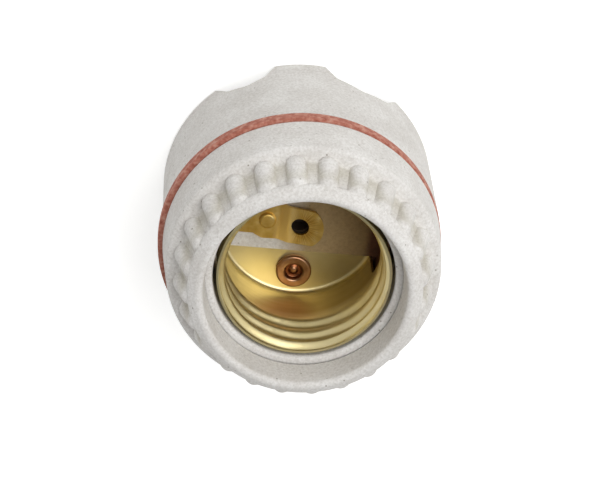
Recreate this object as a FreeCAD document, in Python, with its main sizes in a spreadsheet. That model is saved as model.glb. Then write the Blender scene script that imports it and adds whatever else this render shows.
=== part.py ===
import FreeCAD, Part
import math
import os
from types import SimpleNamespace

import Sketcher

# A ring-type porcelain lamp socket for a medium screw lamp, standing on its
# rear rim with its mouth up. +Z runs out of the mouth, along the lamp's axis.
# +Y is the side of the two wire notches. The origin is the centre of the rear
# rim's plane. All lengths are in millimetres.

SIZES = [
    # The porcelain body, from its rear rim up to its threaded neck
    ("body_height", 20.0, "rear rim to shoulder"),
    ("rear_radius", 21.9, "outside, at the rear rim"),
    ("rear_round", 1.0, "outer edge of the rear rim"),
    ("shoulder_radius", 22.2, "outside, at the shoulder"),
    ("rim_wall", 4.1, "wall round the rear recess"),
    ("recess_depth", 8.0, "rear recess"),
    ("floor_thickness", 4.6, "porcelain between recess and cavity"),
    ("cavity_radius", 14.3, "cavity that takes the screw shell"),
    ("neck_length", 12.3, "shoulder to the neck's end"),
    ("neck_radius", 15.95, "neck, at the root of its thread"),
    ("edge_round", 0.6, "soft edges of the fired porcelain"),
    ("platform_rise", 0.8, "raised floor beside the shell's own floor"),
    # The thread between neck and clamp ring
    ("ring_pitch", 3.2, "pitch of the porcelain thread"),
    ("ring_thread_depth", 0.95, "height of the thread ridge"),
    ("ring_thread_base", 1.9, "width of the ridge at its root"),
    ("ring_thread_crest", 0.9, "width of the ridge at its crest"),
    ("ring_thread_start", 2.2, "first ridge above the shoulder"),
    ("ring_thread_length", 7.4, "height that the ridge climbs"),
    ("ring_play", 0.28, "clearance all round the thread"),
    # The rear recess and its wire notches
    ("barrier_width", 3.0, "wall between the two poles"),
    ("barrier_bend", 3.0, "from the axis to where the wall turns aside"),
    ("barrier_end", 11.0, "from the axis to where the wall meets the rim"),
    ("shell_notch_near", 1.8, "from the middle to the shell's wire notch"),
    ("shell_notch_far", 14.7, "from the middle to that notch's far side"),
    ("shell_notch_depth", 6.0, "the shell's wire notch"),
    ("contact_notch_near", 5.5, "from the middle to the contact's wire notch"),
    ("contact_notch_far", 15.5, "from the middle to that notch's far side"),
    ("contact_notch_depth", 5.4, "the contact's wire notch"),
    ("notch_lean", 2.2, "how far each side of a notch leans"),
    ("notch_round", 1.4, "corners of a notch"),
    # The fibre washer
    ("gasket_overhang", 0.3, "how far it stands out past the shoulder"),
    ("gasket_thickness", 1.6, "thickness"),
    ("gasket_play", 0.5, "round the neck thread"),
    ("gasket_shift", 0.35, "how far it lies off the axis"),
    # The clamp ring
    ("flange_inset", 0.1, "shoulder's edge in to the flange's edge"),
    ("ridge_inset", 0.5, "flange's edge in to the ridge"),
    ("ridge_height", 8.4, "rear face to the ridge"),
    ("ridge_round", 0.9, "the ridge's soft edge"),
    ("ledge_width", 2.3, "ridge in to the foot of the valleys"),
    ("ledge_rise", 0.4, "ridge up to the foot of the valleys"),
    ("crown_wall", 1.67, "bore out to the crown's foot, between the ribs"),
    ("crown_foot_height", 13.4, "rear face to the crown's foot"),
    ("crown_bulge", 0.6, "how far the crown stands out past its foot"),
    ("crown_edge_height", 14.9, "rear face to the crown's outer corner"),
    ("crown_round", 1.0, "the crown's outer corner"),
    ("mouth_height", 17.1, "rear face to the mouth's corner"),
    ("mouth_round", 0.8, "the mouth's corner"),
    ("mouth_flare", 0.5, "how far the mouth's wall opens out"),
    ("lip_reach", 1.2, "cavity's wall out to the lip"),
    ("lip_thickness", 0.5, "the lip, at its edge"),
    ("lip_gap", 0.3, "lip to the end of the neck"),
    ("rib_count", 24, "grip ribs"),
    ("rib_round", 1.7, "radius of a rib"),
    ("rib_stand", 1.38, "how far a rib stands out of its valley"),
    ("rib_low", 0.5, "foot of the valleys up to a rib's lower centre"),
    ("rib_high", 0.1, "crown's foot down to a rib's upper centre"),
    ("rib_phase", 9.9, "angle of the first rib, in degrees"),
    # The drawn brass shell with its rolled lamp thread
    ("sheet", 0.35, "thickness of the shell's sheet"),
    ("shell_height", 19.1, "inside, floor to rim"),
    ("skirt_radius", 13.25, "inside of the plain skirt"),
    ("shell_corner", 0.7, "inside corner of skirt and floor"),
    ("rim_flare", 0.1, "how far the rim opens out"),
    ("lamp_pitch", 3.629, "pitch of a medium lamp thread"),
    ("lamp_thread_depth", 0.92, "depth of the rolled thread"),
    ("lamp_thread_height", 10.4, "height of the threaded part"),
    ("lamp_thread_fade", 1.4, "height over which the thread fades out"),
    ("lamp_ridge", 10.6, "floor to the first full ridge, on the -Y side"),
    ("chord_offset", 5.5, "axis to the straight edge of the shell's floor"),
    ("window_height", 6.3, "shell's window, above its floor"),
    ("window_round", 0.9, "corners of the window"),
    ("seam_gap", 0.15, "shell's floor to the raised porcelain"),
    # Rivets, contact and terminals
    ("eyelet_offset", 9.1, "axis to the shell's rivet"),
    ("eyelet_shank", 1.7, "radius of its shank"),
    ("eyelet_roll", 2.9, "radius of its rolled end"),
    ("eyelet_roll_height", 1.0, "height of the rolled end"),
    ("eyelet_bore", 1.35, "radius of the hollow end"),
    ("eyelet_bore_depth", 2.2, "depth of the hollow end"),
    ("rivet_offset", 5.2, "axis to the centre contact's rivet"),
    ("rivet_shank", 0.95, "radius of its shank"),
    ("rivet_head", 1.4, "radius of its head"),
    ("rivet_head_height", 0.6, "height of its head"),
    ("tail_radius", 2.4, "radius of both rivets' rear heads"),
    ("tail_height", 0.8, "height of both rivets' rear heads"),
    ("rivet_play", 0.1, "clearance round a rivet's shank"),
    ("leaf_thickness", 0.5, "centre contact's leaf"),
    ("leaf_bend", 3.4, "axis to the leaf's first bend"),
    ("leaf_knee", 1.8, "axis to its second bend"),
    ("leaf_step", 1.15, "how far it stands up at the second bend"),
    ("leaf_rise", 2.35, "how far its end stands up"),
    ("leaf_end_radius", 3.75, "round end of the leaf"),
    ("leaf_end_width", 6.1, "width of the leaf at its round end"),
    ("leaf_root_width", 6.6, "width of the leaf at its rivet"),
    ("leaf_root", 5.9, "axis to where the leaf narrows to its tail"),
    ("leaf_taper", 1.5, "length of that taper"),
    ("leaf_tail_width", 5.0, "width of the tail"),
    ("leaf_tail", 9.8, "axis to the tail's end"),
    ("leaf_hole", 1.42, "radius of the hole in the leaf's end"),
    ("leaf_well", 3.0, "depth of the blind hole below the leaf's hole"),
    ("plate_thickness", 0.9, "terminal plates"),
    ("plate_root", 2.5, "radius of a plate's riveted end"),
    ("plate_end", 3.4, "radius of a plate's screw end"),
    ("shell_screw_x", 10.8, "shell's terminal screw, across"),
    ("shell_screw_y", 3.0, "shell's terminal screw, below the middle"),
    ("contact_screw_x", 11.2, "contact's terminal screw, across"),
    ("contact_screw_y", 2.2, "contact's terminal screw, above the middle"),
    ("screw_radius", 1.75, "terminal screw's shank"),
    ("screw_length", 3.8, "shank below the head"),
    ("screw_head", 3.6, "radius of the head"),
    ("screw_head_height", 1.9, "height of the head"),
    ("screw_slot", 1.0, "width of the driver slot"),
    ("screw_slot_depth", 0.9, "depth of the driver slot"),
    ("screw_play", 0.05, "shank to the plate's hole"),
    ("screw_well", 2.3, "radius of the blind hole over a screw"),
    ("screw_well_depth", 3.4, "depth of that blind hole"),
]


class Size:
    """A length that keeps its number and the sheet formula that gives it."""

    def __init__(self, number, formula=None):
        self.number = float(number)
        self.formula = formula if formula else repr(self.number)

    def join(self, sign, other, number):
        return Size(number, "(%s %s %s)" % (self.formula, sign, other.formula))

    def __add__(self, other):
        other = as_size(other)
        return self.join("+", other, self.number + other.number)

    def __sub__(self, other):
        other = as_size(other)
        return self.join("-", other, self.number - other.number)

    def __mul__(self, other):
        other = as_size(other)
        return self.join("*", other, self.number * other.number)

    def __truediv__(self, other):
        other = as_size(other)
        return self.join("/", other, self.number / other.number)

    def __neg__(self):
        return Size(-self.number, "(-1 * %s)" % self.formula)


def as_size(value):
    return value if isinstance(value, Size) else Size(value)


def square_root(size):
    return Size(math.sqrt(size.number), "sqrt(%s)" % size.formula)


doc = FreeCAD.newDocument("LampSocket")
ZERO = Size(0)


def make_sheet():
    """Writes every driving size into the sheet, and returns them by name."""
    sheet = doc.addObject("Spreadsheet::Sheet", "Sizes")
    names = {}
    for row, (name, number, note) in enumerate(SIZES, start=1):
        sheet.set("A%d" % row, note)
        sheet.set("B%d" % row, str(number))
        sheet.setAlias("B%d" % row, name)
        names[name] = Size(number, "Sizes." + name)
    doc.recompute()
    return SimpleNamespace(**names)


s = make_sheet()

# Levels along the axis that several pieces share
SHOULDER = s.body_height
RING_REAR = s.body_height + s.gasket_thickness
NECK_END = s.body_height + s.neck_length
SEAT = s.recess_depth + s.floor_thickness
PLATFORM = SEAT + s.platform_rise
SHELL_FLOOR = SEAT + s.sheet
PLATE_REAR = s.recess_depth - s.plate_thickness
RECESS_RADIUS = s.rear_radius - s.rim_wall
LEAF_TOP = PLATFORM + s.leaf_thickness


def bind(thing, path, size):
    thing.setExpression(path, as_size(size).formula)


def stand(thing, x, y, turn=None):
    """Places a piece at x, y, turned about the socket's axis."""
    angle = turn.number if turn else 0
    spin = FreeCAD.Rotation(FreeCAD.Vector(0, 0, 1), angle)
    thing.Placement = FreeCAD.Placement(FreeCAD.Vector(0, 0, 0), spin)
    bind(thing, "Placement.Base.x", x)
    bind(thing, "Placement.Base.y", y)
    if turn:
        bind(thing, "Placement.Rotation.Angle", turn)


def new_body(name):
    body = doc.addObject("PartDesign::Body", name)
    body.Label = name
    return body


def new_sketch(body, name, plane):
    """An empty sketch on one of the body's own planes."""
    sketch = body.newObject("Sketcher::SketchObject", name)
    own = [item for item in body.Origin.OriginFeatures if item.Role == plane]
    sketch.AttachmentSupport = [(own[0], "")]
    sketch.MapMode = "FlatFace"
    return sketch


def fix_point(sketch, geometry, point, x, y):
    """Holds a point of the sketch at x, y, both bound to the sheet."""
    for kind, size, axis in (("DistanceX", as_size(x), -2), ("DistanceY", as_size(y), -1)):
        if size.number == 0.0:
            sketch.addConstraint(Sketcher.Constraint("PointOnObject", geometry, point, axis))
            continue
        index = sketch.addConstraint(Sketcher.Constraint(kind, geometry, point, size.number))
        bind(sketch, "Constraints[%d]" % index, size)


def fix_radius(sketch, geometry, radius):
    index = sketch.addConstraint(Sketcher.Constraint("Radius", geometry, radius.number))
    bind(sketch, "Constraints[%d]" % index, radius)


def arc_between(centre, start, end):
    """The arc that runs anticlockwise from start to end."""
    first = math.atan2(start.y - centre.y, start.x - centre.x)
    last = math.atan2(end.y - centre.y, end.x - centre.x)
    circle = Part.Circle(centre, FreeCAD.Vector(0, 0, 1), (start - centre).Length)
    return Part.ArcOfCircle(circle, first, last)


def add_circle(sketch, x, y, radius):
    centre = FreeCAD.Vector(as_size(x).number, as_size(y).number, 0)
    circle = sketch.addGeometry(Part.Circle(centre, FreeCAD.Vector(0, 0, 1), radius.number))
    fix_point(sketch, circle, 3, x, y)
    fix_radius(sketch, circle, radius)


def add_outline(sketch, corners):
    """A closed outline. A corner is x, y and, where it is rounded, a radius."""
    count = len(corners)
    spots = [FreeCAD.Vector(as_size(c[0]).number, as_size(c[1]).number, 0) for c in corners]
    arrive, leave, arcs = [], [], []
    for i, corner in enumerate(corners):
        here = spots[i]
        if len(corner) < 3:
            arrive.append(here)
            leave.append(here)
            arcs.append(None)
            continue
        back = (spots[i - 1] - here).normalize()
        ahead = (spots[(i + 1) % count] - here).normalize()
        half = back.getAngle(ahead) / 2
        reach = corner[2].number / math.tan(half)
        middle = (back + ahead).normalize()
        arrive.append(here + back * reach)
        leave.append(here + ahead * reach)
        centre = here + middle * (corner[2].number / math.sin(half))
        left_turn = back.cross(ahead).z < 0
        arcs.append((centre, left_turn))
    lines = []
    for i in range(count):
        edge = Part.LineSegment(leave[i], arrive[(i + 1) % count])
        lines.append(sketch.addGeometry(edge))
    for i, corner in enumerate(corners):
        before, after = lines[i - 1], lines[i]
        if arcs[i] is None:
            sketch.addConstraint(Sketcher.Constraint("Coincident", before, 2, after, 1))
            fix_point(sketch, after, 1, corner[0], corner[1])
            continue
        centre, left_turn = arcs[i]
        ends = (arrive[i], leave[i]) if left_turn else (leave[i], arrive[i])
        arc = sketch.addGeometry(arc_between(centre, ends[0], ends[1]))
        first, last = (1, 2) if left_turn else (2, 1)
        sketch.addConstraint(Sketcher.Constraint("Tangent", before, 2, arc, first))
        sketch.addConstraint(Sketcher.Constraint("Tangent", after, 1, arc, last))
        fix_radius(sketch, arc, corner[2])
        tip = sketch.addGeometry(Part.Point(spots[i]), True)
        fix_point(sketch, tip, 1, corner[0], corner[1])
        sketch.addConstraint(Sketcher.Constraint("PointOnObject", tip, 1, before))
        sketch.addConstraint(Sketcher.Constraint("PointOnObject", tip, 1, after))


def add_strap(sketch, start, end, start_radius, end_radius):
    """The outline of a strap: two round ends joined by their tangent lines."""
    a = FreeCAD.Vector(as_size(start[0]).number, as_size(start[1]).number, 0)
    b = FreeCAD.Vector(as_size(end[0]).number, as_size(end[1]).number, 0)
    along = (b - a).normalize()
    across = FreeCAD.Vector(-along.y, along.x, 0)
    lean = (start_radius.number - end_radius.number) / (b - a).Length
    level = math.sqrt(1 - lean * lean)
    left = along * lean + across * level
    right = along * lean - across * level
    a_left, a_right = a + left * start_radius.number, a + right * start_radius.number
    b_left, b_right = b + left * end_radius.number, b + right * end_radius.number
    first = sketch.addGeometry(arc_between(a, a_left, a_right))
    last = sketch.addGeometry(arc_between(b, b_right, b_left))
    low = sketch.addGeometry(Part.LineSegment(a_right, b_right))
    high = sketch.addGeometry(Part.LineSegment(b_left, a_left))
    fix_point(sketch, first, 3, start[0], start[1])
    fix_point(sketch, last, 3, end[0], end[1])
    fix_radius(sketch, first, start_radius)
    fix_radius(sketch, last, end_radius)
    sketch.addConstraint(Sketcher.Constraint("Tangent", first, 2, low, 1))
    sketch.addConstraint(Sketcher.Constraint("Tangent", low, 2, last, 1))
    sketch.addConstraint(Sketcher.Constraint("Tangent", last, 2, high, 1))
    sketch.addConstraint(Sketcher.Constraint("Tangent", high, 2, first, 1))


def add_capsule_half(sketch, low, high, radius):
    """Half of a round-ended rod, closed along its own axis."""
    a = FreeCAD.Vector(low[0].number, low[1].number, 0)
    b = FreeCAD.Vector(high[0].number, high[1].number, 0)
    along = (b - a).normalize()
    side = FreeCAD.Vector(along.y, -along.x, 0)
    r = radius.number
    axis = sketch.addGeometry(Part.LineSegment(b + along * r, a - along * r))
    first = sketch.addGeometry(arc_between(a, a - along * r, a + side * r))
    edge = sketch.addGeometry(Part.LineSegment(a + side * r, b + side * r))
    last = sketch.addGeometry(arc_between(b, b + side * r, b + along * r))
    fix_point(sketch, first, 3, low[0], low[1])
    fix_point(sketch, last, 3, high[0], high[1])
    fix_radius(sketch, first, radius)
    sketch.addConstraint(Sketcher.Constraint("Coincident", axis, 2, first, 1))
    sketch.addConstraint(Sketcher.Constraint("Tangent", first, 2, edge, 1))
    sketch.addConstraint(Sketcher.Constraint("Tangent", edge, 2, last, 1))
    sketch.addConstraint(Sketcher.Constraint("Coincident", last, 2, axis, 1))
    sketch.addConstraint(Sketcher.Constraint("PointOnObject", first, 3, axis))
    sketch.addConstraint(Sketcher.Constraint("PointOnObject", last, 3, axis))
    line = sketch.addGeometry(Part.LineSegment(b, a), True)
    sketch.addConstraint(Sketcher.Constraint("Coincident", line, 1, last, 3))
    sketch.addConstraint(Sketcher.Constraint("Coincident", line, 2, first, 3))


def revolve(body, sketch, name, cut=False, axis="V_Axis"):
    """A full turn of the sketch, added to the body or cut from it."""
    kind = "PartDesign::Groove" if cut else "PartDesign::Revolution"
    feature = body.newObject(kind, name)
    feature.Profile = sketch
    feature.ReferenceAxis = (sketch, [axis])
    feature.Angle = 360
    return feature


def pad(body, sketch, name, length, both_ways=False):
    feature = body.newObject("PartDesign::Pad", name)
    feature.Profile = sketch
    bind(feature, "Length", length)
    if both_ways:
        feature.SideType = "Symmetric"
    return feature


def pocket(body, sketch, name, length, up=False, both_ways=False):
    """Cuts the sketch away, towards +normal where up is set."""
    feature = body.newObject("PartDesign::Pocket", name)
    feature.Profile = sketch
    bind(feature, "Length", length)
    feature.Reversed = up
    if both_ways:
        feature.SideType = "Symmetric"
    return feature


def wind(body, sketch, name, pitch, height, cut=False):
    """A right-hand helix of the sketch about the axis."""
    kind = "PartDesign::SubtractiveHelix" if cut else "PartDesign::AdditiveHelix"
    feature = body.newObject(kind, name)
    feature.Profile = sketch
    feature.ReferenceAxis = (sketch, ["V_Axis"])
    feature.Mode = "pitch-height-angle"
    bind(feature, "Pitch", pitch)
    bind(feature, "Height", height)
    feature.Growth = 0
    feature.LeftHanded = False
    feature.Reversed = False
    return feature


def make_rear_body():
    """The porcelain body: recess behind, floor, cavity and threaded neck."""
    body = new_body("rear_body")
    side = new_sketch(body, "BodySection", "XZ_Plane")
    add_outline(side, [
        (ZERO, s.recess_depth),
        (RECESS_RADIUS, s.recess_depth, s.edge_round),
        (RECESS_RADIUS, ZERO, s.edge_round),
        (s.rear_radius, ZERO, s.rear_round),
        (s.shoulder_radius, SHOULDER, s.edge_round),
        (s.neck_radius, SHOULDER),
        (s.neck_radius, NECK_END, s.edge_round),
        (s.cavity_radius, NECK_END, s.edge_round),
        (s.cavity_radius, SEAT),
        (ZERO, SEAT),
    ])
    revolve(body, side, "BodyTurned")

    platform = new_sketch(body, "PlatformOutline", "XY_Plane")
    edge = s.seam_gap - s.chord_offset
    bind(platform, "AttachmentOffset.Base.z", SEAT)
    add_outline(platform, [
        (-s.cavity_radius, edge), (s.cavity_radius, edge),
        (s.cavity_radius, s.neck_radius), (-s.cavity_radius, s.neck_radius),
    ])
    pad(body, platform, "Platform", s.platform_rise)

    wall = new_sketch(body, "BarrierOutline", "XY_Plane")
    half = s.barrier_width / 2
    reach = RECESS_RADIUS + s.rim_wall / 3
    aside = square_root(reach * reach - s.barrier_end * s.barrier_end)
    add_outline(wall, [
        (half, reach), (-half, reach), (-half, half - s.barrier_bend),
        (-aside, half - s.barrier_end), (-aside, -half - s.barrier_end),
        (half, -half - s.barrier_bend),
    ])
    pad(body, wall, "Barrier", s.recess_depth)

    cut_wire_notch(body, "ShellWireNotch", 1, s.shell_notch_near, s.shell_notch_far,
                   s.shell_notch_depth)
    cut_wire_notch(body, "ContactWireNotch", -1, s.contact_notch_near, s.contact_notch_far,
                   s.contact_notch_depth)

    wells = new_sketch(body, "ScrewWells", "XY_Plane")
    bind(wells, "AttachmentOffset.Base.z", s.recess_depth)
    add_circle(wells, s.shell_screw_x, -s.shell_screw_y, s.screw_well)
    add_circle(wells, -s.contact_screw_x, s.contact_screw_y, s.screw_well)
    pocket(body, wells, "ScrewWell", s.screw_well_depth, up=True)

    holes = new_sketch(body, "RivetHoles", "XY_Plane")
    bind(holes, "AttachmentOffset.Base.z", s.recess_depth)
    add_circle(holes, ZERO, -s.eyelet_offset, s.eyelet_shank + s.rivet_play)
    add_circle(holes, -s.rivet_offset, ZERO, s.rivet_shank + s.rivet_play)
    pocket(body, holes, "RivetHole", s.floor_thickness + s.platform_rise, up=True)

    well = new_sketch(body, "LeafWellOutline", "XY_Plane")
    bind(well, "AttachmentOffset.Base.z", PLATFORM)
    add_circle(well, ZERO, ZERO, s.leaf_hole + s.leaf_thickness / 2)
    pocket(body, well, "LeafWell", s.leaf_well)

    thread = new_sketch(body, "NeckThreadSection", "XZ_Plane")
    root = s.neck_radius - s.edge_round / 2
    crest = s.neck_radius + s.ring_thread_depth
    middle = SHOULDER + s.ring_thread_start
    add_outline(thread, [
        (root, middle - s.ring_thread_base / 2), (crest, middle - s.ring_thread_crest / 2),
        (crest, middle + s.ring_thread_crest / 2), (root, middle + s.ring_thread_base / 2),
    ])
    wind(body, thread, "NeckThread", s.ring_pitch, s.ring_thread_length)
    return body


def cut_wire_notch(body, name, side, near, far, depth):
    """A scooped notch in the rear rim, towards +Y, on one side of the middle."""
    section = new_sketch(body, name + "Section", "XZ_Plane")
    knee = depth * 0.74
    corners = [
        (near * side, ZERO), ((near + s.notch_lean) * side, knee, s.notch_round),
        ((near + far) / 2 * side, depth, s.notch_round),
        ((far - s.notch_lean) * side, knee, s.notch_round), (far * side, ZERO),
        (far * side, -depth), (near * side, -depth),
    ]
    if side < 0:
        corners.reverse()
    add_outline(section, corners)
    pocket(body, section, name, s.shoulder_radius)


def make_gasket():
    """The flat fibre washer under the clamp ring, a little off centre."""
    body = new_body("gasket")
    ring = new_sketch(body, "GasketOutline", "XY_Plane")
    bind(ring, "AttachmentOffset.Base.z", SHOULDER)
    bore = s.neck_radius + s.ring_thread_depth + s.gasket_play
    add_circle(ring, -s.gasket_shift, ZERO, s.shoulder_radius + s.gasket_overhang)
    add_circle(ring, -s.gasket_shift, ZERO, bore)
    pad(body, ring, "GasketSheet", s.gasket_thickness)
    return body


def make_clamp_ring():
    """The porcelain nut: flange, ridge, ribbed crown, lip and inside thread."""
    body = new_body("clamp_ring")
    inner = s.neck_radius + s.ring_play
    flange = s.shoulder_radius - s.flange_inset
    ridge = flange - s.ridge_inset
    valley = ridge - s.ledge_width
    crown = inner + s.crown_wall
    lip = s.cavity_radius + s.lip_reach
    ledge = RING_REAR + s.ridge_height
    foot = ledge + s.ledge_rise
    crown_foot = RING_REAR + s.crown_foot_height
    mouth = RING_REAR + s.mouth_height
    under_lip = NECK_END + s.lip_gap
    lip_edge = under_lip + s.lip_thickness
    outside = new_sketch(body, "RingSection", "XZ_Plane")
    add_outline(outside, [
        (ZERO, RING_REAR), (flange, RING_REAR, s.edge_round),
        (ridge, ledge, s.ridge_round), (valley, foot, s.edge_round),
        (crown, crown_foot, s.edge_round),
        (crown + s.crown_bulge, RING_REAR + s.crown_edge_height, s.crown_round),
        (lip + s.mouth_flare, mouth, s.mouth_round),
        (lip, lip_edge), (ZERO, lip_edge),
    ])
    revolve(body, outside, "RingTurned")

    rib = new_sketch(body, "RibSection", "XZ_Plane")
    lean = (valley - crown) / (crown_foot - foot)
    sunk = (s.rib_stand - s.rib_round) * square_root(lean * lean + 1)
    low = (valley - lean * s.rib_low + sunk, foot + s.rib_low)
    high = (crown + lean * s.rib_high + sunk, crown_foot - s.rib_high)
    add_capsule_half(rib, low, high, s.rib_round)
    first = revolve(body, rib, "Rib", axis="Axis0")
    ribs = body.newObject("PartDesign::PolarPattern", "Ribs")
    ribs.Originals = [first]
    own = [item for item in body.Origin.OriginFeatures if item.Role == "Z_Axis"]
    ribs.Axis = (own[0], [""])
    ribs.Angle = 360
    bind(ribs, "Occurrences", s.rib_count)
    body.Tip = ribs

    bore = new_sketch(body, "BoreSection", "XZ_Plane")
    add_outline(bore, [
        (ZERO, RING_REAR - s.edge_round),
        (inner + s.ring_thread_depth + s.edge_round, RING_REAR - s.edge_round),
        (inner, RING_REAR + s.ring_thread_depth),
        (inner, under_lip), (lip, under_lip), (lip, mouth), (ZERO, mouth),
    ])
    revolve(body, bore, "RingBore", cut=True)

    thread = new_sketch(body, "RingThreadSection", "XZ_Plane")
    root = inner - s.edge_round / 2
    groove = inner + s.ring_thread_depth
    turned = s.ring_pitch * s.rib_phase / 360
    middle = SHOULDER + s.ring_thread_start - s.ring_pitch + turned
    base = s.ring_thread_base / 2 + s.ring_play
    tip = s.ring_thread_crest / 2 + s.ring_play
    add_outline(thread, [
        (root, middle - base), (groove, middle - tip),
        (groove, middle + tip), (root, middle + base),
    ])
    climb = s.ring_thread_length + s.ring_pitch * 1.1
    wind(body, thread, "RingThread", s.ring_pitch, climb, cut=True)
    stand(body, ZERO, ZERO, s.rib_phase)
    return body


def shell_row(base, height, turns, columns):
    """One ring of points of the shell's wall, dented inwards by the thread."""
    rim = s.shell_height.number
    start = rim - s.lamp_thread_height.number
    fade_in = ease((height - start) / s.lamp_thread_fade.number)
    fade_out = ease((rim - height) / s.lamp_thread_fade.number)
    ring = []
    for column in range(columns + 1):
        angle = 2 * math.pi * column / columns - math.pi / 2
        climb = (height - s.lamp_ridge.number) / s.lamp_pitch.number - column / columns
        dent = thread_wave(climb) * fade_in * fade_out
        radius = base - s.lamp_thread_depth.number * dent * turns
        level = SHELL_FLOOR.number + height
        ring.append(FreeCAD.Vector(radius * math.cos(angle), radius * math.sin(angle), level))
    return ring


def thread_wave(turns):
    """The rolled thread's section, two arcs a pitch: 1 on a ridge, 0 in a valley."""
    half = s.lamp_pitch.number / 2
    depth = s.lamp_thread_depth.number
    lean = 2 * math.atan(depth / half)
    radius = half / 2 / math.sin(lean)
    off = abs(turns - round(turns)) * half * 2
    if off < half / 2:
        return 1 - (radius - math.sqrt(radius * radius - off * off)) / depth
    return (radius - math.sqrt(radius * radius - (half - off) ** 2)) / depth


def ease(share):
    """A soft step from 0 to 1."""
    share = min(max(share, 0.0), 1.0)
    return share * share * (3 - 2 * share)


def shell_side(thickness, above):
    """The closed solid inside one face of the shell's wall.

    thickness is how far that face lies outside the inner one, and above is
    how far the solid runs on past the rim.
    """
    columns = 24
    step = s.lamp_pitch.number / 8
    corner = s.shell_corner.number
    rim = s.shell_height.number
    rows = []
    for part in range(5):
        angle = math.pi / 2 * part / 4
        base = s.skirt_radius.number - corner + (corner + thickness) * math.sin(angle)
        rows.append((base, corner - (corner + thickness) * math.cos(angle)))
    count = round((rim - corner) / step)
    for part in range(1, count + 1):
        height = corner + (rim - corner) * part / count
        flare = s.rim_flare.number * ease((height - rim + 1) / 1)
        rows.append((s.skirt_radius.number + thickness + flare, height))
    if above:
        rows.append((rows[-1][0], rim + above))
    grid = [shell_row(base, height, 1, columns) for base, height in rows]
    wall = Part.BSplineSurface()
    wall.interpolate(grid)
    side = wall.toShape()
    ends = []
    for level in (grid[0][0].z, grid[-1][0].z):
        rim_edges = [e for e in side.Edges if all(abs(v.Z - level) < 1e-6 for v in e.Vertexes)]
        ends.append(Part.Face(Part.Wire(rim_edges)))
    skin = Part.makeShell([side] + ends)
    skin.sewShape(1e-4)
    solid = Part.Solid(Part.Shell(skin.Faces))
    return solid


def make_screw_shell():
    """The drawn brass shell: rolled thread, plain skirt, part of a floor."""
    drawn = doc.addObject("Part::Feature", "ShellDrawn")
    outside = shell_side(s.sheet.number, 0)
    inside = shell_side(0, 1)
    drawn.Shape = outside.cut(inside)

    block = doc.addObject("Part::Box", "WindowBlock")
    bind(block, "Length", s.cavity_radius * 2)
    bind(block, "Width", s.cavity_radius + s.chord_offset)
    bind(block, "Height", s.window_height + s.sheet * 3)
    bind(block, "Placement.Base.x", -s.cavity_radius)
    bind(block, "Placement.Base.y", -s.chord_offset)
    bind(block, "Placement.Base.z", SHELL_FLOOR - s.sheet * 3)
    doc.recompute()
    window = doc.addObject("Part::Fillet", "Window")
    window.Base = block
    radius = s.window_round.number
    window.Edges = [(window_edge(block.Shape), radius, radius)]

    hole = doc.addObject("Part::Cylinder", "ShellHole")
    bind(hole, "Radius", s.eyelet_shank + s.rivet_play)
    bind(hole, "Height", s.sheet * 3)
    bind(hole, "Placement.Base.y", -s.eyelet_offset)
    bind(hole, "Placement.Base.z", SHELL_FLOOR - s.sheet * 2)

    open_side = doc.addObject("Part::Cut", "ShellOpened")
    open_side.Base = drawn
    open_side.Tool = window
    shell = doc.addObject("Part::Cut", "ScrewShell")
    shell.Base = open_side
    shell.Tool = hole
    shell.Label = "screw_shell"
    return shell


def window_edge(shape):
    """The upper edge of the window block on the floor's side."""
    low_y = shape.BoundBox.YMin
    high_z = shape.BoundBox.ZMax
    for number, edge in enumerate(shape.Edges, start=1):
        middle = edge.CenterOfMass
        if abs(middle.y - low_y) < 1e-6 and abs(middle.z - high_z) < 1e-6:
            return number
    return 0


def make_shell_eyelet():
    """The copper rivet that holds the shell's floor, its hollow end rolled."""
    body = new_body("shell_eyelet")
    side = new_sketch(body, "EyeletSection", "XZ_Plane")
    rear = PLATE_REAR - s.tail_height
    top = SHELL_FLOOR + s.eyelet_roll_height
    bottom = top - s.eyelet_bore_depth
    roll = s.eyelet_roll_height * 0.45
    add_outline(side, [
        (ZERO, rear), (s.tail_radius, rear, s.tail_height / 2), (s.tail_radius, PLATE_REAR),
        (s.eyelet_shank, PLATE_REAR), (s.eyelet_shank, SHELL_FLOOR),
        (s.eyelet_roll, SHELL_FLOOR, roll), (s.eyelet_roll, top, roll),
        (s.eyelet_bore, top, roll), (s.eyelet_bore, bottom),
        (ZERO, bottom + s.eyelet_bore / 2),
    ])
    revolve(body, side, "EyeletTurned")
    stand(body, ZERO, -s.eyelet_offset)
    return body


def make_contact_rivet():
    """The brass rivet that holds the centre contact."""
    body = new_body("contact_rivet")
    side = new_sketch(body, "RivetSection", "XZ_Plane")
    rear = PLATE_REAR - s.tail_height
    top = LEAF_TOP + s.rivet_head_height
    add_outline(side, [
        (ZERO, rear), (s.tail_radius, rear, s.tail_height / 2), (s.tail_radius, PLATE_REAR),
        (s.rivet_shank, PLATE_REAR), (s.rivet_shank, LEAF_TOP), (s.rivet_head, LEAF_TOP),
        (s.rivet_head, top, s.rivet_head_height * 0.8), (ZERO, top),
    ])
    revolve(body, side, "RivetTurned")
    stand(body, -s.rivet_offset, ZERO)
    return body


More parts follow.
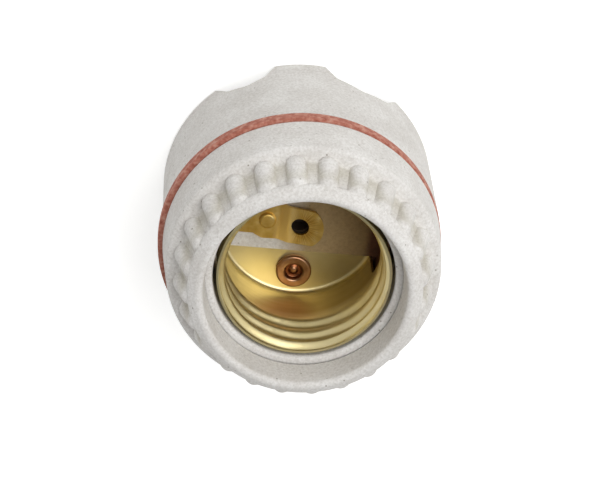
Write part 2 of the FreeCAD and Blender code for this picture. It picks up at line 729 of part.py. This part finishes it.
def add_leaf_outline(sketch):
    """The leaf from above: a tail, a taper, straight edges and a round end."""
    root = -s.leaf_root
    neck = root - s.leaf_taper
    tail = s.leaf_tail_width / 2
    side = s.leaf_root_width / 2
    end = s.leaf_end_width / 2
    reach = square_root(s.leaf_end_radius * s.leaf_end_radius - end * end)
    corners = [
        (reach, end), (root, side), (neck, tail), (-s.leaf_tail, tail),
        (-s.leaf_tail, -tail), (neck, -tail), (root, -side), (reach, -end),
    ]
    spots = [FreeCAD.Vector(x.number, y.number, 0) for x, y in corners]
    lines = []
    for start, stop in zip(spots, spots[1:]):
        lines.append(sketch.addGeometry(Part.LineSegment(start, stop)))
    for before, after in zip(lines, lines[1:]):
        sketch.addConstraint(Sketcher.Constraint("Coincident", before, 2, after, 1))
    for line, (x, y) in zip(lines, corners):
        fix_point(sketch, line, 1, x, y)
    fix_point(sketch, lines[-1], 2, *corners[-1])
    middle = FreeCAD.Vector(0, 0, 0)
    wide = sketch.addGeometry(arc_between(middle, spots[-1], spots[0]))
    sketch.addConstraint(Sketcher.Constraint("Coincident", lines[-1], 2, wide, 1))
    sketch.addConstraint(Sketcher.Constraint("Coincident", wide, 2, lines[0], 1))
    fix_radius(sketch, wide, s.leaf_end_radius)


def make_centre_contact():
    """The brass leaf: flat at its rivet, then rising to the lamp's centre."""
    body = new_body("centre_contact")
    side = new_sketch(body, "LeafSection", "XZ_Plane")
    bend = s.leaf_thickness * 2
    outer = bend + s.leaf_thickness
    knee = PLATFORM + s.leaf_step
    add_outline(side, [
        (-s.leaf_tail, PLATFORM), (-s.leaf_bend, PLATFORM, outer), (-s.leaf_knee, knee, bend),
        (s.leaf_end_radius, PLATFORM + s.leaf_rise),
        (s.leaf_end_radius, LEAF_TOP + s.leaf_rise),
        (-s.leaf_knee, knee + s.leaf_thickness, outer), (-s.leaf_bend, LEAF_TOP, bend),
        (-s.leaf_tail, LEAF_TOP),
    ])
    pad(body, side, "LeafStrip", s.leaf_end_radius * 2.2, both_ways=True)

    outline = new_sketch(body, "LeafOutline", "XY_Plane")
    far = s.cavity_radius
    add_outline(outline, [(-far, -far), (far, -far), (far, far), (-far, far)])
    add_leaf_outline(outline)
    pocket(body, outline, "LeafTrimmed", s.body_height, up=True)

    holes = new_sketch(body, "LeafHoles", "XY_Plane")
    add_circle(holes, ZERO, ZERO, s.leaf_hole)
    add_circle(holes, -s.rivet_offset, ZERO, s.rivet_shank + s.rivet_play)
    pocket(body, holes, "LeafPierced", s.body_height, up=True)
    return body


def make_terminal_plate(name, root, end, shank):
    """A brass strap in the recess, from a rivet's tail to a terminal screw."""
    body = new_body(name)
    outline = new_sketch(body, name + "Outline", "XY_Plane")
    bind(outline, "AttachmentOffset.Base.z", PLATE_REAR)
    add_strap(outline, root, end, s.plate_root, s.plate_end)
    add_circle(outline, root[0], root[1], shank + s.rivet_play)
    add_circle(outline, end[0], end[1], s.screw_radius + s.screw_play)
    pad(body, outline, name + "Strap", s.plate_thickness)
    return body


def make_terminal_screw(name, x, y):
    """A slotted binding screw, head down against its plate."""
    body = new_body(name)
    side = new_sketch(body, name + "Section", "XZ_Plane")
    rear = PLATE_REAR - s.screw_head_height
    tip = PLATE_REAR + s.screw_length
    add_outline(side, [
        (ZERO, rear), (s.screw_head, rear, s.screw_head_height / 3),
        (s.screw_head, PLATE_REAR), (s.screw_radius, PLATE_REAR),
        (s.screw_radius, tip, s.screw_radius / 4), (ZERO, tip),
    ])
    revolve(body, side, name + "Turned")
    slot = new_sketch(body, name + "Slot", "XY_Plane")
    bind(slot, "AttachmentOffset.Base.z", rear)
    half = s.screw_slot / 2
    far = s.screw_head * 1.1
    add_outline(slot, [(-far, -half), (far, -half), (far, half), (-far, half)])
    pocket(body, slot, name + "SlotCut", s.screw_slot_depth, up=True)
    stand(body, x, y)
    return body


def make_socket():
    """Every piece of the socket, in the order that it is put together."""
    shell_screw = (s.shell_screw_x, -s.shell_screw_y)
    contact_screw = (-s.contact_screw_x, s.contact_screw_y)
    shell_rivet = (ZERO, -s.eyelet_offset)
    contact_rivet = (-s.rivet_offset, ZERO)
    return [
        make_rear_body(),
        make_gasket(),
        make_clamp_ring(),
        make_screw_shell(),
        make_shell_eyelet(),
        make_centre_contact(),
        make_contact_rivet(),
        make_terminal_plate("shell_terminal_plate", shell_rivet, shell_screw, s.eyelet_shank),
        make_terminal_plate("contact_terminal_plate", contact_rivet, contact_screw,
                            s.rivet_shank),
        make_terminal_screw("shell_terminal_screw", *shell_screw),
        make_terminal_screw("contact_terminal_screw", *contact_screw),
    ]


def check_and_write(pieces):
    """Stops on any failed feature or bad solid, then writes the parts."""
    for item in doc.Objects:
        if "Invalid" in item.State or "Error" in item.State:
            raise RuntimeError("%s failed: %s" % (item.Name, item.State))
    for piece in pieces:
        if piece.Shape.isNull() or not piece.Shape.isValid() or len(piece.Shape.Solids) != 1:
            raise RuntimeError("%s is not one sound solid" % piece.Label)
    os.makedirs("parts", exist_ok=True)
    for piece in pieces:
        piece.Shape.exportStep("parts/%s.step" % piece.Label)
        print(piece.Label, round(piece.Shape.Volume, 1), "mm3")


PIECES = make_socket()
doc.recompute()
check_and_write(PIECES)
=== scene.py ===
import math

import bpy
from mathutils import Matrix, Vector


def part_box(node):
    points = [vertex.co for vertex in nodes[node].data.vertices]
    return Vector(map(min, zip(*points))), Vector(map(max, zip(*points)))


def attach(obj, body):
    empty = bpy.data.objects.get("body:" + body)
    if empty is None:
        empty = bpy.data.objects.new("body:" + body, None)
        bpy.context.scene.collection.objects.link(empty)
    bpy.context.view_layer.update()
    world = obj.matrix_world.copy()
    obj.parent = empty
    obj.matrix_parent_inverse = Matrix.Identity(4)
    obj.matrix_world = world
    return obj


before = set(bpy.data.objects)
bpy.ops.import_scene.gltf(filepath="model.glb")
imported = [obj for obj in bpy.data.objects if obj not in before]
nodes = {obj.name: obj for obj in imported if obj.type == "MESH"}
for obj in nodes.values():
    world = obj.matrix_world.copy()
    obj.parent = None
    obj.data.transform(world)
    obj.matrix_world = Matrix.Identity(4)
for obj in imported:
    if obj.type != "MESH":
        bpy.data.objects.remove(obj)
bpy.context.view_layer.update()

# A ring-type porcelain lamp socket, seen from above into its mouth. All places
# are in metres in the socket's own frame: +Z out of the mouth along the lamp's
# axis, +Y towards the wire notches, and the rear rim at Z = 0.

MM = 0.001
AXIS = Vector((0, 0, 0))
eyelet_low, eyelet_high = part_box("shell_eyelet")
EYELET = (eyelet_low + eyelet_high) / 2
RING_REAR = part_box("clamp_ring")[0].z

# A Mix node has sockets of the same names for numbers and for colours. These
# are the numbers of those that mix colours. COVER lays the second colour over
# the first, and TINT multiplies the two.
FACTOR, FIRST, SECOND = 0, 6, 7
MIXED = 2
COVER = {"data_type": "RGBA", "blend_type": "MIX"}
TINT = {"data_type": "RGBA", "blend_type": "MULTIPLY"}


def linear(code):
    """An sRGB hex colour as the linear colour that shaders take."""
    shares = [int(code[i:i + 2], 16) / 255 for i in (1, 3, 5)]
    light = [c / 12.92 if c <= 0.04045 else ((c + 0.055) / 1.055) ** 2.4 for c in shares]
    return (*light, 1.0)


def per(millimetres):
    """The texture scale that makes a pattern's feature this long."""
    return 1 / (millimetres * MM)


def add(owner, kind, settings=None, links=None, stops=None, **choices):
    """Adds a node to a material or the world, and returns it.

    It takes its sockets' values, the sockets that feed it and its ramp's colours.
    A socket goes by its name, or by its number where several share a name.
    """
    node = owner.node_tree.nodes.new("ShaderNode" + kind)
    for name, value in choices.items():
        setattr(node, name, value)
    for socket, value in (settings or {}).items():
        node.inputs[socket].default_value = value
    for socket, source in (links or {}).items():
        owner.node_tree.links.new(source, node.inputs[socket])
    if stops:
        elements = node.color_ramp.elements
        while len(elements) < len(stops):
            elements.new(0.5)
        for element, (position, code) in zip(elements, stops):
            element.position = position
            element.color = linear(code)
    return node


def join(owner, source, socket):
    """Feeds a socket that a material or the world already has."""
    owner.node_tree.links.new(source, socket)


def new_material(name, **values):
    """A material with its Principled shader, set to these values, and its Object coordinates."""
    material = bpy.data.materials.new(name)
    material.use_nodes = True
    shader = material.node_tree.nodes["Principled BSDF"]
    for socket, value in values.items():
        shader.inputs[socket].default_value = value
    place = add(material, "TexCoord").outputs["Object"]
    return material, shader, place


def distance_from(material, place, centre):
    """How far a place is from the upright line through this centre."""
    flat = add(material, "VectorMath", {1: (1, 1, 0)}, {0: place}, operation="MULTIPLY")
    reach = add(material, "VectorMath", {1: (centre.x, centre.y, 0)}, {0: flat.outputs[0]},
                operation="DISTANCE")
    return reach.outputs["Value"]


def soft_band(material, length, middle, full, end):
    """A mask of 1 where a length is up to full away from the middle, and of 0 from end on."""
    offset = add(material, "Math", {1: middle}, {0: length}, operation="SUBTRACT")
    apart = add(material, "Math", links={0: offset.outputs[0]}, operation="ABSOLUTE")
    band = add(material, "MapRange", {"From Min": end, "From Max": full}, {"Value": apart.outputs[0]})
    return band.outputs["Result"]


def colour_along(material, length, stops):
    """A colour that changes with a length, by stops of a length and a colour each."""
    start, end = stops[0][0], stops[-1][0]
    share = add(material, "MapRange", {"From Min": start, "From Max": end}, {"Value": length})
    shares = [((stop - start) / (end - start), code) for stop, code in stops]
    ramp = add(material, "ValToRGB", links={"Fac": share.outputs["Result"]}, stops=shares)
    return ramp.outputs["Color"]


def unglazed_porcelain():
    """Pressed, fired and left unglazed: chalky off-white and finely granular.

    It has a few specks of iron. Painted shade darkens the valleys between the
    ring's ribs, the blind hole below the leaf, and the cavity towards +X, where
    it is also painted brown as a reflection of the brass.
    """
    material, shader, place = new_material("unglazed_porcelain", Roughness=0.7)
    cloud = add(material, "TexNoise", {"Scale": per(6), "Detail": 3.0}, {"Vector": place})
    body = add(material, "ValToRGB", links={"Fac": cloud.outputs["Fac"]},
               stops=[(0.35, "#dbd8d4"), (0.65, "#e6e4e1")])
    grain = add(material, "TexNoise", {"Scale": per(0.4), "Detail": 3.0, "Roughness": 0.65},
                {"Vector": place})
    grained = add(material, "ValToRGB", links={"Fac": grain.outputs["Fac"]},
                  stops=[(0.3, "#e4e2df"), (0.65, "#ffffff")])
    chalk = add(material, "Mix", {FACTOR: 1.0},
                {FIRST: body.outputs["Color"], SECOND: grained.outputs["Color"]}, **TINT)
    colour = chalk.outputs[MIXED]
    # iron specks, then painted shade in the rib valleys, the cavity and the hole below the leaf
    for finish in (iron_specks, painted_rib_shade, painted_cavity_shade, painted_hole_shade):
        colour = finish(material, place, colour)
    join(material, colour, shader.inputs["Base Color"])
    rough = add(material, "Bump", {"Strength": 1.0, "Distance": 0.035 * MM},
                {"Height": grain.outputs["Fac"]})
    join(material, rough.outputs["Normal"], shader.inputs["Normal"])
    return material


def iron_specks(material, place, under):
    """Grey specks about a quarter of a millimetre across, where the clay held iron."""
    speck = add(material, "TexVoronoi", {"Scale": per(1.3)}, {"Vector": place})
    near = add(material, "ValToRGB", links={"Fac": speck.outputs["Distance"]},
               stops=[(0.08, "#ffffff"), (0.14, "#000000")])
    pick = add(material, "SeparateColor", links={"Color": speck.outputs["Color"]})
    chosen = add(material, "ValToRGB", links={"Fac": pick.outputs["Red"]},
                 stops=[(0.6, "#000000"), (0.9, "#ffffff")])
    share = add(material, "Math", links={0: near.outputs["Color"], 1: chosen.outputs["Color"]},
                operation="MULTIPLY")
    specked = add(material, "Mix", {SECOND: linear("#8f887d")}, {FACTOR: share.outputs[0], FIRST: under},
                  **COVER)
    return specked.outputs[MIXED]


# The valleys between the ring's ribs: roughly their radius and their middle height
VALLEY_RADIUS = 18.9 * MM
VALLEY_HEIGHT = 32.9 * MM


def painted_rib_shade(material, place, under):
    """Painted shade, a little darker and warmer, in the valleys between the ring's ribs."""
    height = add(material, "SeparateXYZ", links={"Vector": place}).outputs["Z"]
    reach = distance_from(material, place, AXIS)
    valley = soft_band(material, reach, VALLEY_RADIUS, full=0.1 * MM, end=1.0 * MM)
    ribbed = soft_band(material, height, VALLEY_HEIGHT, full=1.9 * MM, end=3.0 * MM)
    share = add(material, "Math", links={0: valley, 1: ribbed}, operation="MULTIPLY")
    # painted shade: a slightly darker, warmer tint in the rib valleys
    rib_valley_shaded = add(material, "Mix", {SECOND: linear("#e9e7df")}, {FACTOR: share.outputs[0], FIRST: under},
                **TINT)
    return rib_valley_shaded.outputs[MIXED]


# The cavity, just past its wall, and the band of heights where shade is painted on it
CAVITY_RADIUS = 14.4 * MM
SHADED_MIDDLE = 16.6 * MM
SHADED_REACH = 4.2 * MM


def painted_cavity_shade(material, place, under):
    """Painted shade on the cavity's floor and low wall towards +X, deepest by the wall, and brown as a
    painted reflection of the brass.
    """
    axes = add(material, "SeparateXYZ", links={"Vector": place})
    cavity = add(material, "Math", {1: CAVITY_RADIUS}, {0: distance_from(material, place, AXIS)},
                 operation="LESS_THAN")
    shaded_heights = add(material, "Math", {1: SHADED_MIDDLE, 2: SHADED_REACH}, {0: axes.outputs["Z"]},
                 operation="COMPARE")
    share = add(material, "Math", links={0: cavity.outputs[0], 1: shaded_heights.outputs[0]},
                operation="MULTIPLY")
    # painted shade: darker and browner towards +X, as the brass's reflected light
    brown = colour_along(material, axes.outputs["X"], [
        (-3.6 * MM, "#ffffff"), (1.6 * MM, "#cfb587"), (10.8 * MM, "#bfa172"), (12 * MM, "#80543c")])
    cavity_shaded = add(material, "Mix", links={FACTOR: share.outputs[0], FIRST: under, SECOND: brown}, **TINT)
    return cavity_shaded.outputs[MIXED]


# The blind hole below the leaf's own hole, with what shows of the floor beside it, painted dark as shade
HOLE_SHADE_CENTRE = Vector((0, -0.7 * MM, 0))
HOLE_SHADE_RADIUS = 2.15 * MM
HOLE_SHADE_MIDDLE = 11.5 * MM
HOLE_SHADE_REACH = 2 * MM


def painted_hole_shade(material, place, under):
    """Painted shade that keeps the blind hole below the leaf dark."""
    height = add(material, "SeparateXYZ", links={"Vector": place}).outputs["Z"]
    inside = add(material, "Math", {1: HOLE_SHADE_RADIUS}, {0: distance_from(material, place, HOLE_SHADE_CENTRE)},
                 operation="LESS_THAN")
    deep = add(material, "Math", {1: HOLE_SHADE_MIDDLE, 2: HOLE_SHADE_REACH}, {0: height}, operation="COMPARE")
    share = add(material, "Math", links={0: inside.outputs[0], 1: deep.outputs[0]}, operation="MULTIPLY")
    # painted shade: a near-black brown over the hole
    hole_shaded = add(material, "Mix", {SECOND: linear("#34271a")}, {FACTOR: share.outputs[0], FIRST: under},
                **COVER)
    return hole_shaded.outputs[MIXED]


def vulcanised_fibre():
    """Red vulcanised fibre board, stamped out: matt, a little mottled by its paper plies."""
    material, shader, place = new_material("vulcanised_fibre", Roughness=0.8)
    pulp = add(material, "TexNoise", {"Scale": per(0.8), "Detail": 4.0}, {"Vector": place})
    colour = add(material, "ValToRGB", links={"Fac": pulp.outputs["Fac"]},
                 stops=[(0.3, "#985544"), (0.5, "#b47260"), (0.72, "#ca9a88")])
    join(material, colour.outputs["Color"], shader.inputs["Base Color"])
    nap = add(material, "Bump", {"Strength": 1.0, "Distance": 0.05 * MM}, {"Height": pulp.outputs["Fac"]})
    join(material, nap.outputs["Normal"], shader.inputs["Normal"])
    return material


# The die's marks on the shell, in millimetres, and the middle height of the
# plain skirt between its floor and its thread
MARK_LENGTH = 6
MARK_HEIGHT = 0.75
SKIRT_MIDDLE = 17 * MM


def drawn_brass():
    """Bright brass drawn through a die: pale yellow, satin, with long soft marks round the shell.

    The skirt is darker towards +X: painted shade and a painted dark
    reflection there.
    """
    material, shader, place = new_material("drawn_brass", Metallic=1.0, Roughness=0.4)
    stretched = add(material, "Mapping", {"Scale": (per(MARK_LENGTH), per(MARK_LENGTH), per(MARK_HEIGHT))},
                    {"Vector": place})
    marks = add(material, "TexNoise", {"Scale": 1.0, "Detail": 3.0}, {"Vector": stretched.outputs[0]})
    colour = add(material, "ValToRGB", links={"Fac": marks.outputs["Fac"]},
                 stops=[(0.3, "#decf9a"), (0.7, "#eadcae")])
    axes = add(material, "SeparateXYZ", links={"Vector": place})
    skirt = soft_band(material, axes.outputs["Z"], SKIRT_MIDDLE, full=2.5 * MM, end=4.5 * MM)
    side = add(material, "MapRange", {"From Min": -10 * MM, "From Max": 1 * MM},
               {"Value": axes.outputs["X"]})
    share = add(material, "Math", links={0: skirt, 1: side.outputs["Result"]}, operation="MULTIPLY")
    # painted shade: the skirt darker towards +X
    skirt_shaded = add(material, "Mix", {SECOND: linear("#cbbe9c")},
                 {FACTOR: share.outputs[0], FIRST: colour.outputs["Color"]}, **TINT)
    join(material, skirt_shaded.outputs[MIXED], shader.inputs["Base Color"])
    sheen = add(material, "MapRange", {"To Min": 0.36, "To Max": 0.45}, {"Value": marks.outputs["Fac"]})
    join(material, sheen.outputs["Result"], shader.inputs["Roughness"])
    return material


# About how many rays of marks stand round the leaf's hole. Real ones are finer
# than the render can show, so these are fewer and coarser.
RAY_COUNT = 110.0


def spring_brass():
    """Hard-rolled brass strip, stamped: darker gold, with worn patches and fine rubbing marks.

    Rays of marks stand round the leaf's hole. The leaf's bends carry a
    painted highlight.
    """
    material, shader, place = new_material("spring_brass", Metallic=1.0, Roughness=0.48)
    worn = add(material, "TexNoise", {"Scale": per(1.6), "Detail": 4.0}, {"Vector": place})
    colour = add(material, "ValToRGB", links={"Fac": worn.outputs["Fac"]},
                 stops=[(0.3, "#cfa856"), (0.55, "#dfbd6c"), (0.75, "#ecd28e")])
    angle = add(material, "TexGradient", links={"Vector": place}, gradient_type="RADIAL")
    rays = add(material, "TexNoise", {"Scale": RAY_COUNT, "Detail": 1.0}, {"W": angle.outputs["Fac"]},
               noise_dimensions="1D")
    scratch = add(material, "ValToRGB", links={"Fac": rays.outputs["Fac"]},
                  stops=[(0.36, "#c0a678"), (0.58, "#ffffff")])
    near = add(material, "MapRange", {"From Min": 3.5 * MM, "From Max": 1.9 * MM},
               {"Value": distance_from(material, place, AXIS)})
    rubbed = add(material, "Mix", links={FACTOR: near.outputs["Result"], FIRST: colour.outputs["Color"],
                                         SECOND: scratch.outputs["Color"]}, **TINT)
    along = add(material, "SeparateXYZ", links={"Vector": place}).outputs["X"]
    # painted highlight on the leaf's bends
    bends = colour_along(material, along, [
        (-4.2 * MM, "#000000"), (-3 * MM, "#ffffff"), (-1.5 * MM, "#ffffff"), (-0.3 * MM, "#000000")])
    bright = add(material, "Mix", {SECOND: linear("#f8dc98")},
                 {FACTOR: bends, FIRST: rubbed.outputs[MIXED]}, **COVER)
    join(material, bright.outputs[MIXED], shader.inputs["Base Color"])
    rub = add(material, "TexNoise", {"Scale": per(0.25), "Detail": 2.0}, {"Vector": place})
    dents = add(material, "Bump", {"Strength": 1.0, "Distance": 0.012 * MM}, {"Height": rub.outputs["Fac"]})
    join(material, dents.outputs["Normal"], shader.inputs["Normal"])
    return material


# Above this the eyelet's copper is its curled front end, and below it its tail
EYELET_FRONT = 10 * MM


def rolled_copper():
    """A copper rivet set by a curling tool: bright where the tool rubbed, tarnished in its hollow."""
    material, shader, place = new_material("rolled_copper", Metallic=1.0, Roughness=0.32)
    tarnish = add(material, "TexNoise", {"Scale": per(1.2), "Detail": 3.0}, {"Vector": place})
    colour = add(material, "ValToRGB", links={"Fac": tarnish.outputs["Fac"]},
                 stops=[(0.3, "#93694b"), (0.7, "#b18a6a")])
    hollow = colour_along(material, distance_from(material, place, EYELET), [
        (0.36 * MM, "#ffffff"), (0.72 * MM, "#c29f8a"), (1.26 * MM, "#b08a74"), (1.5 * MM, "#ffffff")])
    height = add(material, "SeparateXYZ", links={"Vector": place}).outputs["Z"]
    front = add(material, "Math", {1: EYELET_FRONT}, {0: height}, operation="GREATER_THAN")
    aged = add(material, "Mix", links={FACTOR: front.outputs[0], FIRST: colour.outputs["Color"],
                                       SECOND: hollow}, **TINT)
    join(material, aged.outputs[MIXED], shader.inputs["Base Color"])
    return material


def stamped_brass():
    """Thick terminal brass, stamped and turned: plain yellow with a dull skin."""
    material, shader, place = new_material("stamped_brass", Metallic=1.0, Roughness=0.36)
    skin = add(material, "TexNoise", {"Scale": per(2.0), "Detail": 3.0}, {"Vector": place})
    colour = add(material, "ValToRGB", links={"Fac": skin.outputs["Fac"]},
                 stops=[(0.3, "#c4a254"), (0.7, "#dcc078")])
    join(material, colour.outputs["Color"], shader.inputs["Base Color"])
    return material


def nickel_plate():
    """Nickel plating over a turned screw: bright, a little warm."""
    material, shader, place = new_material("nickel_plate", Metallic=1.0, Roughness=0.24)
    haze = add(material, "TexNoise", {"Scale": per(1.5), "Detail": 2.0}, {"Vector": place})
    colour = add(material, "ValToRGB", links={"Fac": haze.outputs["Fac"]},
                 stops=[(0.3, "#c9c6bf"), (0.7, "#dddad3")])
    join(material, colour.outputs["Color"], shader.inputs["Base Color"])
    return material


# The eyelet's core is a disc in its hollow, with its middle CORE_SINK below the
# rolled edge. Its top is inset in steps, each of a width and a rise: down,
# level, up the side of a pip and onto the pip's top.
CORE_RADIUS = 1.33 * MM
CORE_THICKNESS = 1.0 * MM
CORE_SINK = 1.4 * MM
CORE_SIDES = 32
CORE_STEPS = [(0.3 * MM, -0.12 * MM), (0.2 * MM, 0.0), (0.3 * MM, 0.32 * MM), (0.25 * MM, 0.1 * MM)]
CORE_CREASE = math.radians(50)
FACES_UP = 0.9


def make_eyelet_core(copper):
    """The crushed bottom of the eyelet's hollow, with the pip that its setting tool left.

    The pip is a guess from a light spot in the photograph.
    """
    bpy.ops.object.select_all(action="DESELECT")
    bpy.ops.mesh.primitive_cylinder_add(vertices=CORE_SIDES, radius=CORE_RADIUS, depth=CORE_THICKNESS,
                                        location=(EYELET.x, EYELET.y, eyelet_high.z - CORE_SINK))
    core = bpy.context.object
    core.name = "eyelet_core"
    bpy.ops.object.transform_apply()
    bpy.ops.object.mode_set(mode="EDIT")
    bpy.ops.mesh.select_mode(type="FACE")
    bpy.ops.mesh.select_all(action="DESELECT")
    bpy.ops.object.mode_set(mode="OBJECT")
    for face in core.data.polygons:
        face.select = face.normal.z > FACES_UP
    bpy.ops.object.mode_set(mode="EDIT")
    for width, rise in CORE_STEPS:
        bpy.ops.mesh.inset(thickness=width, depth=rise)
    bpy.ops.object.mode_set(mode="OBJECT")
    bpy.ops.object.shade_smooth_by_angle(angle=CORE_CREASE)
    core.data.materials.append(copper)
    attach(core, "socket")


def dress(material, *names):
    """Gives CAD nodes their finish."""
    for name in names:
        mesh = nodes[name].data
        mesh.materials.clear()
        mesh.materials.append(material)


def dress_socket():
    """Every CAD node's finish, and the core in the eyelet's hollow."""
    dress(unglazed_porcelain(), "rear_body", "clamp_ring")
    dress(vulcanised_fibre(), "gasket")
    dress(drawn_brass(), "screw_shell")
    copper = rolled_copper()
    dress(copper, "shell_eyelet")
    make_eyelet_core(copper)
    dress(spring_brass(), "centre_contact", "contact_rivet")
    dress(stamped_brass(), "shell_terminal_plate", "contact_terminal_plate", "contact_terminal_screw")
    dress(nickel_plate(), "shell_terminal_screw")


def white_paper():
    """The floor's paper: pale and matt, and white to the camera and in the metal."""
    material = bpy.data.materials.new("white_paper")
    material.use_nodes = True
    material.node_tree.nodes.clear()
    path = add(material, "LightPath")
    seen = path.outputs["Is Camera Ray"]
    for ray in ("Is Glossy Ray", "Is Transmission Ray"):
        seen = add(material, "Math", links={0: seen, 1: path.outputs[ray]}, operation="MAXIMUM").outputs[0]
    paper = add(material, "BsdfDiffuse", {"Color": linear("#e6e6e4")})
    glow = add(material, "Emission", {"Strength": 0.55})
    both = add(material, "AddShader", links={0: paper.outputs[0], 1: glow.outputs[0]})
    shown = add(material, "MixShader", links={0: seen, 1: paper.outputs[0], 2: both.outputs[0]})
    add(material, "OutputMaterial", links={"Surface": shown.outputs[0]})
    return material


# The floor lies a hair below the rear rim, so that no two faces share a plane
FLOOR_WIDTH = 3.0
FLOOR_HEIGHT = -0.02 * MM


def make_floor():
    """A plain pale floor that keeps the socket's shadow."""
    bpy.ops.mesh.primitive_plane_add(size=FLOOR_WIDTH, location=(0, 0, FLOOR_HEIGHT))
    floor = bpy.context.object
    floor.name = "floor"
    floor.data.materials.append(white_paper())


# The camera, from the ellipses of the rims in the photograph. Its frame is
# first worked out about the centre of the ring's rear face, with X to the
# picture's right, and then turned to the socket's own frame. RING_IN_VIEW is
# that centre as the camera has it, and FOCUS is in pixels of the photograph.
LEAN_RIGHT = 0.037
LEAN_DOWN = 0.471
RING_IN_VIEW = Vector((0.264 * MM, -0.837 * MM, -500 * MM))
FOCUS = 3149.975
PICTURE_WIDTH = 600
SOCKET_TURN = math.radians(6.4)


def make_camera():
    """Looks down into the mouth from half a metre away, as the photograph does."""
    axis = Vector((LEAN_RIGHT, -LEAN_DOWN, math.sqrt(1 - LEAN_RIGHT ** 2 - LEAN_DOWN ** 2)))
    across = (Vector((1, 0, 0)) - axis.x * axis).normalized()
    up = axis.cross(across)
    turned = Matrix.Rotation(SOCKET_TURN, 3, "Z") @ Matrix((across, up, axis))
    place = turned @ -RING_IN_VIEW + Vector((0, 0, RING_REAR))
    data = bpy.data.cameras.new("camera")
    data.sensor_fit = "HORIZONTAL"
    data.lens = data.sensor_width * FOCUS / PICTURE_WIDTH
    data.clip_start = 0.01
    camera = bpy.data.objects.new("camera", data)
    bpy.context.scene.collection.objects.link(camera)
    camera.matrix_world = Matrix.Translation(place) @ turned.to_4x4()
    bpy.context.scene.camera = camera


# The window: its middle, the point that it faces, its width and its power
WINDOW_PLACE = Vector((0.19, 0.29, 0.63))
WINDOW_AIM = Vector((0, 0, 0.02))
WINDOW_WIDTH = 0.5
WINDOW_WATTS = 3.5


def make_window():
    """A soft square window, high up towards +X and +Y, that faces the socket's middle."""
    data = bpy.data.lights.new("window", "AREA")
    data.shape = "SQUARE"
    data.size = WINDOW_WIDTH
    data.energy = WINDOW_WATTS
    lamp = bpy.data.objects.new("window", data)
    bpy.context.scene.collection.objects.link(lamp)
    lamp.location = WINDOW_PLACE
    lamp.rotation_euler = (WINDOW_AIM - WINDOW_PLACE).to_track_quat("-Z", "Y").to_euler()


def make_room():
    """A room that is white round about and dim overhead."""
    world = bpy.data.worlds.new("studio")
    bpy.context.scene.world = world
    world.use_nodes = True
    direction = add(world, "TexCoord").outputs["Generated"]
    height = add(world, "SeparateXYZ", links={"Vector": direction}).outputs["Z"]
    walls = add(world, "ValToRGB", links={"Fac": height},
                stops=[(0.0, "#f8f8f8"), (0.42, "#f2f2f2"), (0.76, "#6c6c6c"), (1.0, "#363636")])
    join(world, walls.outputs["Color"], world.node_tree.nodes["Background"].inputs["Color"])


dress_socket()
make_floor()
make_camera()
make_room()
make_window()
bpy.context.scene.view_settings.view_transform = "Standard"
